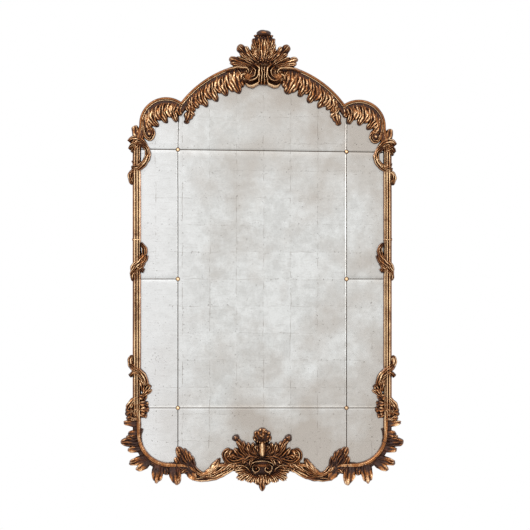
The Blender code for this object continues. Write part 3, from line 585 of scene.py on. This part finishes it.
def crest():
    """Palm of leaves over the arch: a tall middle leaf, side leaves, scrolls and a fluted stem."""
    shapes = [boss((-1, 321), 34, 30, squash=0.9, shade=0.5)]
    shapes.append(leaf([(-1, 301), (0, 360), (0, 421)], 44, 34, ribs=7, lobes=3, notch=0.2, sweep=0.3,
                       root=0.2, belly=0.72, point=6, groove=0.42, tip_shade=0.1))
    shapes.append(leaf([(-1, 305), (-1, 352), (0, 415)], 24, 42, ribs=4, root=0.4, belly=0.7, point=5,
                       groove=0.42, tip_shade=0.1))
    shapes.append(boss((0, 423), 28.5, 50, squash=0.5, shade=0.85))
    shapes.append(boss((0, 425), 20, 53, squash=0.44, shade=0.35))
    shapes.append(boss((-1, 404), 12, 47, squash=0.7, shade=1.0, cup=0.3))
    for line, width in (
        ([(23, 344), (34, 372), (41, 405)], 10), ([(19, 336), (35, 357), (45, 385)], 9),
        ([(11, 321), (28, 340), (40, 363)], 9), ([(11, 336), (18, 368), (25, 399)], 8),
    ):
        shapes += both_sides(leaf(line, width, 38, ribs=2, root=0.7, curl=6, tip_shade=0.5))
    for line, width, ribs, rise in (
        ([(10, 281), (58, 326), (100, 377)], 22, 5, 33), ([(18, 305), (50, 336), (72, 373)], 11, 2, 38),
        ([(11, 313), (32, 338), (47, 366)], 10, 2, 38), ([(26, 293), (64, 320), (94, 349)], 10, 2, 37),
        ([(22, 285), (66, 304), (109, 316), (135, 325)], 14, 3, 34),
        ([(30, 277), (69, 291), (105, 300), (133, 307)], 9, 2, 37),
        ([(30, 293), (70, 316), (105, 331)], 5, 1, 41), ([(22, 289), (54, 312), (82, 339)], 8, 2, 40),
    ):
        shapes += both_sides(leaf(line, width, rise, ribs=ribs, lobes=2 if width > 20 else 0, notch=0.2,
                                  sweep=0.15, root=0.5, belly=0.6, groove=0.38, curl=6, tip_shade=0.15))
    for off in (-3, -2, -1, 0, 1, 2, 3):
        shapes.append(boss((-1 + 9.5 * off, 317 - 1.5 * off * off), 6, 45, shade=0.15))
    # A cavity in painted shadow under the top of the stem.
    shapes.append(boss((-3, 303), 19, 30, squash=0.4, shade=1.0))
    for off in (-1.5, -0.5, 0.5, 1.5):
        spine = [(12.5 * off, 219 + 3 * abs(off)), (9.8 * off, 259.5), (11 * off, 300)]
        shapes.append(leaf(spine, 7.4, 51, root=1.0, belly=0.3, point=6, tip_shade=0.4))
    for line, width, rise in (
        ([(148, 274), (117, 286), (89, 288), (65, 285), (56, 271), (71, 263)], 8, 52),
        ([(33, 302), (17, 285), (20, 256), (41, 238), (70, 242)], 8, 52),
        ([(46, 293), (31, 277), (35, 258), (53, 248)], 6.5, 48), ([(50, 281), (46, 269), (55, 257)], 5, 46),
        ([(11, 242), (25, 225), (50, 216), (73, 230)], 9, 50),
        ([(65, 265), (82, 258), (87, 239)], 8, 42), ([(101, 280), (89, 265), (90, 245)], 6, 34),
    ):
        shapes += both_sides(leaf(line, width, rise, root=0.8, belly=0.3, tip_shade=0.0))
    shapes += both_sides(fan((65, 248), (39, 287), 15, 33, 3, neck=0.3, curl=3))
    shapes += both_sides(fan((57, 226), (81, 255), 10, 32, 3, neck=0.4, curl=3))
    shapes += both_sides(boss((66, 273), 7, 50, shade=0.0))
    shapes += both_sides(boss((51, 259), 38, 33, squash=1.1, shade=0.35))
    return shapes


# Glass

def pane(west, east, low, high):
    """A pane between two joints and the frame: x runs from west to east and z from the lower to the upper
    edge at that x, each the nearer of the joint and the rebate. The front falls by PANE_FALL over the
    last PANE_BEVEL."""
    line, _, _ = moulding_line()
    edge = line + mitred(line) * (-RAIL_WIDTH / 2 + REBATE - EDGE_PLAY)
    half = len(edge) // 2
    side = int(np.argmax(edge[:half, 0]))
    limit = edge[side, 0]
    west = -limit if west is None else west + JOINT_GAP / 2
    east = limit if east is None else east - JOINT_GAP / 2
    under = edge[:side + 1]
    over = edge[side:half + 1][::-1]
    width = east - west
    middle = np.linspace(PANE_BEVEL, width - PANE_BEVEL, PANE_COLUMNS)
    x = west + np.concatenate([[0, PANE_BEVEL / 2], middle, [width - PANE_BEVEL / 2, width]])
    bottom = np.interp(np.abs(x), under[:, 0], under[:, 1])
    top = np.interp(np.abs(x), over[:, 0], over[:, 1])
    if low is not None:
        bottom = np.maximum(bottom, low + JOINT_GAP / 2)
    if high is not None:
        top = np.minimum(top, high - JOINT_GAP / 2)
    up = np.linspace(0, 1, PANE_ROWS)[None, :]
    tall = (top - bottom)[:, None]
    rim = np.minimum(PANE_BEVEL / np.maximum(tall, 0.01), 0.2)
    inner = rim + (1 - 2 * rim) * up
    rise = np.concatenate([np.zeros_like(rim), rim / 2, inner, 1 - rim / 2, np.ones_like(rim)], axis=1)
    z = bottom[:, None] + tall * rise
    across = np.minimum(x - west, east - x)[:, None]
    along = np.minimum(z - bottom[:, None], top[:, None] - z)
    fall = PANE_FALL * (1 - np.clip(np.minimum(across, along) / PANE_BEVEL, 0, 1))
    columns, rows = z.shape
    wide = np.broadcast_to(x[:, None], z.shape)
    front = np.stack([wide, -(PANE_FRONT - fall), z], axis=-1).reshape(-1, 3)
    back = np.stack([wide, np.full_like(z, -PANE_BACK), z], axis=-1).reshape(-1, 3)
    i, j = np.meshgrid(np.arange(columns - 1), np.arange(rows - 1), indexing="ij")
    a, b, c, d = i * rows + j, (i + 1) * rows + j, (i + 1) * rows + j + 1, i * rows + j + 1
    cells = np.stack([a, b, c, a, c, d], axis=-1).reshape(-1, 3)
    size = columns * rows
    rim_line = np.concatenate([
        np.arange(columns) * rows, (columns - 1) * rows + np.arange(1, rows),
        (np.arange(columns - 1)[::-1]) * rows + rows - 1, np.arange(1, rows - 1)[::-1],
    ])
    after = np.roll(rim_line, -1)
    walls = np.vstack([
        np.stack([rim_line, rim_line + size, after + size], axis=1),
        np.stack([rim_line, after + size, after], axis=1),
    ])
    points = np.vstack([front, back])
    faces = np.vstack([cells, cells[:, ::-1] + size, walls])
    worn = np.concatenate([(fall / PANE_FALL).ravel(), np.ones(size)])
    return points, outwards(points, faces), worn


def rosette(x, z):
    """A small turned and petalled boss: a dome on a plate of eight petals."""
    back = (PANE_FRONT + FIT_GAP) * 1000
    # The plate is painted in full shade, the dome without shade.
    plate = boss((0, 0), ROSETTE_RADIUS * 1000, PLATE_HEIGHT, petals=8, shade=1.0, back=back)
    dome = boss((0, 0), DOME_RADIUS, ROSETTE_HEIGHT * 1000, shade=0.0, back=back)
    return [(points + [x, 0, z], faces, hollow) for points, faces, hollow in (plate, dome)]


# Pieces

def hand_carved(points):
    """The points moved as a carver's hand would: sideways and up by up to 1.6 mm in waves 31 mm long, and in
    depth from 0.6 mm forwards to 2.2 mm back in waves 13 mm long. The move in depth is none at LIP_BACK and
    full from 10 mm in front of it."""
    u, z = points[:, 0], points[:, 2]
    front = np.clip((-points[:, 1] - LIP_BACK) / 0.01, 0, 1)
    return points + np.stack([
        0.0016 * unevenness(u, z, 0.031, 0.7),
        -0.0014 * front * (unevenness(u, z, 0.013, 1.9) - 0.6),
        0.0016 * unevenness(u, z, 0.031, 3.1),
    ], axis=1)


def piece(name, shapes, material, stands_for, carved=False):
    """One mesh object of several closed skins, each vertex carrying its value of hollow: painted shade on the
    carving and the rosettes, the worn bevel on a pane.
    """
    starts = np.cumsum([0] + [len(points) for points, _, _ in shapes[:-1]])
    points = np.vstack([points for points, _, _ in shapes])
    points = lean(hand_carved(points) if carved else points)
    faces = np.vstack([faces + start for (_, faces, _), start in zip(shapes, starts)])
    hollow = np.concatenate([shade for _, _, shade in shapes])
    mesh = bpy.data.meshes.new(name)
    mesh.from_pydata(points.tolist(), [], faces.tolist())
    mesh.polygons.foreach_set("use_smooth", np.ones(len(faces), bool))
    mesh.attributes.new("hollow", "FLOAT", "POINT").data.foreach_set("value", hollow.astype(np.float32))
    mesh.materials.append(material)
    mesh.update()
    made = bpy.data.objects.new(name, mesh)
    bpy.context.scene.collection.objects.link(made)
    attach(made, "root")
    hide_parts(stands_for)
    return made


# Materials

def colour(text):
    """A hex colour in sRGB turned to linear light, with full alpha."""
    values = [int(text[k:k + 2], 16) / 255 for k in (1, 3, 5)]
    return (*((v / 12.92 if v <= 0.04045 else ((v + 0.055) / 1.055) ** 2.4) for v in values), 1.0)


def per_metre(millimetres):
    """Scale of a pattern whose features are this many millimetres apart."""
    return 1000.0 / millimetres


def add(tree, kind, inputs=None, **settings):
    """One node with its settings; an input is a value or the socket that feeds it."""
    made = tree.nodes.new("ShaderNode" + kind)
    for name, value in settings.items():
        setattr(made, name, value)
    for key, value in (inputs or {}).items():
        if isinstance(value, bpy.types.NodeSocket):
            tree.links.new(value, made.inputs[key])
        else:
            made.inputs[key].default_value = value
    return made


def blank(name):
    """A new material, with its node tree and its main shader."""
    made = bpy.data.materials.new(name)
    made.use_nodes = True
    return made, made.node_tree, made.node_tree.nodes["Principled BSDF"]


def antique_gilding(name, polish):
    """Water gilding over bole on carved wood, worn through and given an umber toning: light on the high
    places, where wear and a painted highlight meet, brown in the hollows and wherever the carving shades
    itself, where the umber toning and painted shade meet, with the red bole and dirt showing in patches.
    Polish takes away some of the dirt and painted shade."""
    made, tree, shader = blank(name)
    place = add(tree, "TexCoord").outputs["Object"]
    # The attribute hollow: painted shade with the umber toning of the hollows, high in grooves, at roots,
    # edges and curled tips, low on crests, which take a painted highlight.
    hollow = add(tree, "Attribute", attribute_name="hollow").outputs["Fac"]
    # Painted shade in recesses from ambient occlusion, with the umber toning gathered there; open places are
    # painted lighter as a highlight.
    open_sky = add(tree, "AmbientOcclusion", {"Distance": 0.018}, samples=8).outputs["AO"]
    toning_and_recess_shade = add(tree, "MapRange", {"Value": open_sky, "From Min": 0.15, "From Max": 0.80, "To Min": 0.50,
                                    "To Max": -0.10}).outputs[0]
    broad = add(tree, "TexNoise", {"Vector": place, "Scale": per_metre(55), "Detail": 3.0}).outputs["Fac"]
    fine = add(tree, "TexNoise", {"Vector": place, "Scale": per_metre(4), "Detail": 4.0}).outputs["Fac"]
    mixed = add(tree, "Math", {0: broad, 1: 0.6, 2: toning_and_recess_shade}, operation="MULTIPLY_ADD").outputs[0]
    mixed = add(tree, "Math", {0: fine, 1: 0.7, 2: mixed}, operation="MULTIPLY_ADD").outputs[0]
    # Dirt noise plus the attribute's painted shade and the occlusion's.
    grime_and_shade = add(tree, "Math", {0: hollow, 1: 0.85, 2: mixed}, operation="MULTIPLY_ADD").outputs[0]
    grime_and_shade = add(tree, "Math", {0: grime_and_shade, 1: 0.67 + polish}, operation="SUBTRACT").outputs[0]
    worn_and_highlit = add(tree, "MapRange", {"Value": grime_and_shade, "From Min": -0.16, "From Max": 0.20},
                 interpolation_type="SMOOTHSTEP").outputs[0]
    dirt_and_shade = add(tree, "MapRange", {"Value": grime_and_shade, "From Min": 0.12, "From Max": 0.62},
                interpolation_type="SMOOTHSTEP").outputs[0]
    # Pale gold where gilding is worn on the high places and a highlight is painted, brown between, dark umber
    # for dirt, toning and painted shade.
    gold = add(tree, "Mix", {0: worn_and_highlit, 6: colour("#f9d6a8"), 7: colour("#9c6234")},
               data_type="RGBA").outputs[2]
    gold = add(tree, "Mix", {0: dirt_and_shade, 6: gold, 7: colour("#33180b")}, data_type="RGBA").outputs[2]
    bole = add(tree, "TexNoise", {"Vector": place, "Scale": per_metre(28), "Detail": 5.0}).outputs["Fac"]
    bole = add(tree, "MapRange", {"Value": bole, "From Min": 0.56, "From Max": 0.68,
                                  "To Max": 0.5}).outputs[0]
    gold = add(tree, "Mix", {0: bole, 6: gold, 7: colour("#5c2c14")}, data_type="RGBA").outputs[2]
    tree.links.new(gold, shader.inputs["Base Color"])
    metal = add(tree, "MapRange", {"Value": dirt_and_shade, "To Min": 0.9, "To Max": 0.3}).outputs[0]
    rough = add(tree, "MapRange", {"Value": grime_and_shade, "To Min": 0.32, "To Max": 0.62}).outputs[0]
    tree.links.new(metal, shader.inputs["Metallic"])
    tree.links.new(rough, shader.inputs["Roughness"])
    tool = add(tree, "TexNoise", {"Vector": place, "Scale": per_metre(3), "Detail": 4.0}).outputs["Fac"]
    bump = add(tree, "Bump", {"Height": tool, "Strength": 0.5, "Distance": 0.0012}).outputs[0]
    tree.links.new(bump, shader.inputs["Normal"])
    return made


def antiqued_mirror():
    """Silver leaf laid in 106 mm squares behind glass and distressed: each square a little its own tone,
    overlaps that show here and there as fine seams, wrinkles in the leaf, dark foxing and warm clouds of
    tarnish that deepen to the right and at the top and bottom. A painted reflection makes the left side
    paler."""
    made, tree, shader = blank("antiqued silver-leaf mirror")
    place = add(tree, "TexCoord").outputs["Object"]
    shift = add(tree, "TexNoise", {"Vector": place, "Scale": per_metre(90), "Detail": 3.0}).outputs["Color"]
    shift = add(tree, "VectorMath", {0: shift, 1: (0.5, 0.5, 0.5)}, operation="SUBTRACT").outputs[0]
    shift = add(tree, "VectorMath", {0: shift, 1: (0.014, 0.0, 0.014), 2: place},
                operation="MULTIPLY_ADD").outputs[0]
    squares = add(tree, "Mapping", {"Vector": shift, "Location": PATTERN_SHIFT,
                                    "Scale": (SQUARES, 0.0, SQUARES)}).outputs[0]
    apart = add(tree, "SeparateXYZ", {0: squares})
    near_x = add(tree, "Math", {0: apart.outputs[0], 1: 0.5}, operation="PINGPONG").outputs[0]
    near_z = add(tree, "Math", {0: apart.outputs[2], 1: 0.5}, operation="PINGPONG").outputs[0]
    near = add(tree, "Math", {0: near_x, 1: near_z}, operation="MINIMUM").outputs[0]
    down = add(tree, "MapRange", {"Value": near_x, "From Min": 0.003, "From Max": 0.013, "To Min": 0.95,
                                  "To Max": 0.0}).outputs[0]
    over = add(tree, "MapRange", {"Value": near_z, "From Min": 0.003, "From Max": 0.011, "To Min": 0.6,
                                  "To Max": 0.0}).outputs[0]
    square = add(tree, "VectorMath", {0: squares}, operation="FLOOR").outputs[0]
    own = add(tree, "TexWhiteNoise", {"Vector": square}, noise_dimensions="3D").outputs["Value"]
    cloud = add(tree, "TexNoise", {"Vector": place, "Scale": per_metre(260), "Detail": 5.0,
                                   "Roughness": 0.6}).outputs["Fac"]
    mottle = add(tree, "TexNoise", {"Vector": place, "Scale": per_metre(30), "Detail": 7.0,
                                    "Roughness": 0.7}).outputs["Fac"]
    tone = add(tree, "Math", {0: own, 1: 0.16, 2: mottle}, operation="MULTIPLY_ADD").outputs[0]
    tone = add(tree, "MapRange", {"Value": tone, "From Min": 0.40, "From Max": 0.72}).outputs[0]
    silver = add(tree, "Mix", {0: tone, 6: colour("#dededb"), 7: colour("#f2f3f1")},
                 data_type="RGBA").outputs[2]
    across = add(tree, "SeparateXYZ", {0: place})
    rightwards = add(tree, "Math", {0: across.outputs[0], 1: 0.20, 2: cloud},
                     operation="MULTIPLY_ADD").outputs[0]
    ends = add(tree, "Math", {0: across.outputs[2], 1: 0.50}, operation="ADD").outputs[0]
    ends = add(tree, "Math", {0: ends, 1: 2.0}, operation="POWER").outputs[0]
    ends = add(tree, "Math", {0: ends, 1: 0.52, 2: rightwards}, operation="MULTIPLY_ADD").outputs[0]
    warm = add(tree, "MapRange", {"Value": ends, "From Min": 0.48, "From Max": 0.80,
                                  "To Max": 1.0}).outputs[0]
    silver = add(tree, "Mix", {0: warm, 6: silver, 7: colour("#c9c1b8")}, data_type="RGBA").outputs[2]
    # Painted reflection: the silver is painted paler towards the left side.
    left_reflection = add(tree, "MapRange", {"Value": across.outputs[0], "From Min": -0.20, "From Max": -0.46,
                                    "To Max": 0.8}).outputs[0]
    silver = add(tree, "Mix", {0: left_reflection, 6: silver, 7: colour("#fbfbfb")}, data_type="RGBA").outputs[2]
    creases = add(tree, "Mapping", {"Vector": place,
                                    "Scale": (per_metre(45), 0.0, per_metre(7))}).outputs[0]
    creases = add(tree, "TexNoise", {"Vector": creases, "Scale": 1.0, "Detail": 5.0,
                                     "Distortion": 0.8}).outputs["Fac"]
    creases = add(tree, "MapRange", {"Value": creases, "From Min": 0.54, "From Max": 0.70,
                                     "To Max": 0.18}).outputs[0]
    silver = add(tree, "Mix", {0: creases, 6: silver, 7: colour("#c4beb8")}, data_type="RGBA").outputs[2]
    seam = add(tree, "Math", {0: down, 1: over}, operation="MAXIMUM").outputs[0]
    broken = add(tree, "TexNoise", {"Vector": place, "Scale": per_metre(26), "Detail": 4.0}).outputs["Fac"]
    here = add(tree, "TexNoise", {"Vector": place, "Scale": per_metre(170), "Detail": 1.0}).outputs["Fac"]
    broken = add(tree, "Math", {0: here, 1: 0.7, 2: broken}, operation="MULTIPLY_ADD").outputs[0]
    shown = add(tree, "MapRange", {"Value": broken, "From Min": 0.80, "From Max": 1.02}).outputs[0]
    seam = add(tree, "Math", {0: seam, 1: shown}, operation="MULTIPLY").outputs[0]
    silver = add(tree, "Mix", {0: seam, 6: silver, 7: colour("#a39b93")}, data_type="RGBA").outputs[2]
    specks = add(tree, "TexNoise", {"Vector": place, "Scale": per_metre(7), "Detail": 3.0}).outputs["Fac"]
    clusters = add(tree, "MapRange", {"Value": near, "From Min": 0.0, "From Max": 0.16, "To Min": 0.05,
                                      "To Max": 0.0}).outputs[0]
    specks = add(tree, "Math", {0: specks, 1: clusters}, operation="ADD").outputs[0]
    specks = add(tree, "Math", {0: cloud, 1: 0.12, 2: specks}, operation="MULTIPLY_ADD").outputs[0]
    foxing = add(tree, "MapRange", {"Value": specks, "From Min": 0.74, "From Max": 0.84,
                                    "To Max": 0.75}).outputs[0]
    silver = add(tree, "Mix", {0: foxing, 6: silver, 7: colour("#7a726b")}, data_type="RGBA").outputs[2]
    edge = add(tree, "Attribute", attribute_name="hollow").outputs["Fac"]
    worn = add(tree, "MapRange", {"Value": edge, "From Min": 0.42, "From Max": 0.85,
                                  "To Max": 0.9}).outputs[0]
    silver = add(tree, "Mix", {0: worn, 6: silver, 7: colour("#3d3a37")}, data_type="RGBA").outputs[2]
    tree.links.new(silver, shader.inputs["Base Color"])
    shader.inputs["Metallic"].default_value = 1.0
    rough = add(tree, "MapRange", {"Value": mottle, "To Min": 0.16, "To Max": 0.30}).outputs[0]
    tree.links.new(rough, shader.inputs["Roughness"])
    ripple = add(tree, "Bump", {"Height": mottle, "Strength": 0.10, "Distance": 0.0004}).outputs[0]
    tree.links.new(ripple, shader.inputs["Normal"])
    return made


def plywood():
    """Birch plywood, stained brown, its long grain running up the board: dull, with darker streaks."""
    made, tree, shader = blank("stained plywood")
    place = add(tree, "TexCoord").outputs["Object"]
    grain = add(tree, "Mapping", {"Vector": place,
                                  "Scale": (per_metre(6), per_metre(6), per_metre(160))}).outputs[0]
    streak = add(tree, "TexNoise", {"Vector": grain, "Scale": 1.0, "Detail": 6.0,
                                    "Roughness": 0.6}).outputs["Fac"]
    wood = add(tree, "Mix", {0: streak, 6: colour("#6b4a2c"), 7: colour("#a47c52")},
               data_type="RGBA").outputs[2]
    tree.links.new(wood, shader.inputs["Base Color"])
    shader.inputs["Roughness"].default_value = 0.62
    bump = add(tree, "Bump", {"Height": streak, "Strength": 0.2, "Distance": 0.0004}).outputs[0]
    tree.links.new(bump, shader.inputs["Normal"])
    return made


def floor_paint():
    """Matt pale floor with a very faint mottle."""
    made, tree, shader = blank("matt pale floor")
    place = add(tree, "TexCoord").outputs["Object"]
    mottle = add(tree, "TexNoise", {"Vector": place, "Scale": per_metre(300), "Detail": 2.0}).outputs["Fac"]
    pale = add(tree, "Mix", {0: mottle, 6: colour("#e6e5e3"), 7: colour("#eeedec")},
               data_type="RGBA").outputs[2]
    tree.links.new(pale, shader.inputs["Base Color"])
    shader.inputs["Roughness"].default_value = 0.8
    return made


# Putting it together

gilding = antique_gilding("antique gilding", 0.0)
for name, shapes in (
    ("moulding", [moulding()]), ("fringe", fringe()), ("rail_wraps", wraps()), ("corner_leaves", corners()),
    ("sill_scrolls", sill()), ("cartouche", cartouche()), ("crest", crest()),
):
    piece(name, shapes, gilding, "frame", carved=name != "moulding")

glass = antiqued_mirror()
side_rows = (
    ("top", UPPER_JOINT_Z, None), ("upper", MIDDLE_JOINT_Z, UPPER_JOINT_Z),
    ("lower", LOWER_JOINT_Z, MIDDLE_JOINT_Z), ("bottom", None, LOWER_JOINT_Z),
)
middle_rows = (
    ("top", UPPER_JOINT_Z, None), ("centre", LOWER_JOINT_Z, UPPER_JOINT_Z), ("bottom", None, LOWER_JOINT_Z),
)
for column, west, east, rows in (
    ("_left", None, -JOINT_U, side_rows), ("_middle", -JOINT_U, JOINT_U, middle_rows),
    ("_right", JOINT_U, None, side_rows),
):
    for row, low, high in rows:
        name = row if row == "centre" else row + column
        piece("glass_" + name, [pane(west, east, low, high)], glass, "pane_" + name)

bright_gilding = antique_gilding("polished gilding", 0.12)
for row, z in (("upper", UPPER_JOINT_Z), ("middle", MIDDLE_JOINT_Z), ("lower", LOWER_JOINT_Z)):
    for side, x in (("left", -JOINT_U), ("right", JOINT_U)):
        piece(f"boss_{row}_{side}", rosette(x, z), bright_gilding, f"rosette_{row}_{side}")

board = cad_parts["backboard"]
board.data.materials.clear()
board.data.materials.append(plywood())

floor_mesh = bpy.data.meshes.new("floor")
floor_corners = [(-2.5, -2.5, FLOOR_Z), (2.5, -2.5, FLOOR_Z), (2.5, 1.5, FLOOR_Z), (-2.5, 1.5, FLOOR_Z)]
floor_mesh.from_pydata(floor_corners, [], [(0, 1, 2, 3)])
floor_mesh.materials.append(floor_paint())
floor = bpy.data.objects.new("floor", floor_mesh)
bpy.context.scene.collection.objects.link(floor)

world = bpy.data.worlds.new("studio")
world.use_nodes = True
tree = world.node_tree
way = add(tree, "TexCoord").outputs["Generated"]
apart = add(tree, "SeparateXYZ", {0: way})
behind = add(tree, "MapRange", {"Value": apart.outputs[1], "From Min": -0.2, "From Max": 0.5}).outputs[0]
height = add(tree, "MapRange", {"Value": apart.outputs[2], "From Min": -0.8, "From Max": 0.6,
                                "To Min": 0.35, "To Max": 1.2}).outputs[0]
studio = add(tree, "Mix", {0: behind, 2: height, 3: 1.0}, data_type="FLOAT").outputs[0]
tree.links.new(studio, tree.nodes["Background"].inputs["Strength"])
tree.nodes["Background"].inputs["Color"].default_value = (1, 1, 1, 1)
bpy.context.scene.world = world

for name, place, aim, size, power in (
    ("key", (-2.4, -3.4, 1.8), (0.0, 0.0, -0.4), 1.4, 90),
    ("fill", (2.8, -3.6, 0.2), (0.0, 0.0, -0.6), 1.8, 35),
):
    light = bpy.data.lights.new(name, "AREA")
    light.size, light.energy = size, power
    lamp = bpy.data.objects.new(name, light)
    lamp.location = place
    from_to = np.array(aim) - np.array(place)
    tilt = math.atan2(math.hypot(from_to[0], from_to[1]), -from_to[2])
    lamp.rotation_euler = (tilt, 0, math.atan2(from_to[1], from_to[0]) - math.pi / 2)
    bpy.context.scene.collection.objects.link(lamp)

camera_data = bpy.data.cameras.new("camera")
camera_data.lens = SENSOR_WIDTH * CAMERA_DISTANCE / PICTURE_WIDTH
camera_data.sensor_width = SENSOR_WIDTH
camera_data.clip_end = 50
camera = bpy.data.objects.new("camera", camera_data)
camera.location = (CAMERA_X, -CAMERA_DISTANCE, CAMERA_Z)
camera.rotation_euler = (math.pi / 2, 0, 0)
bpy.context.scene.collection.objects.link(camera)
bpy.context.scene.camera = camera
bpy.context.scene.view_settings.view_transform = "Standard"
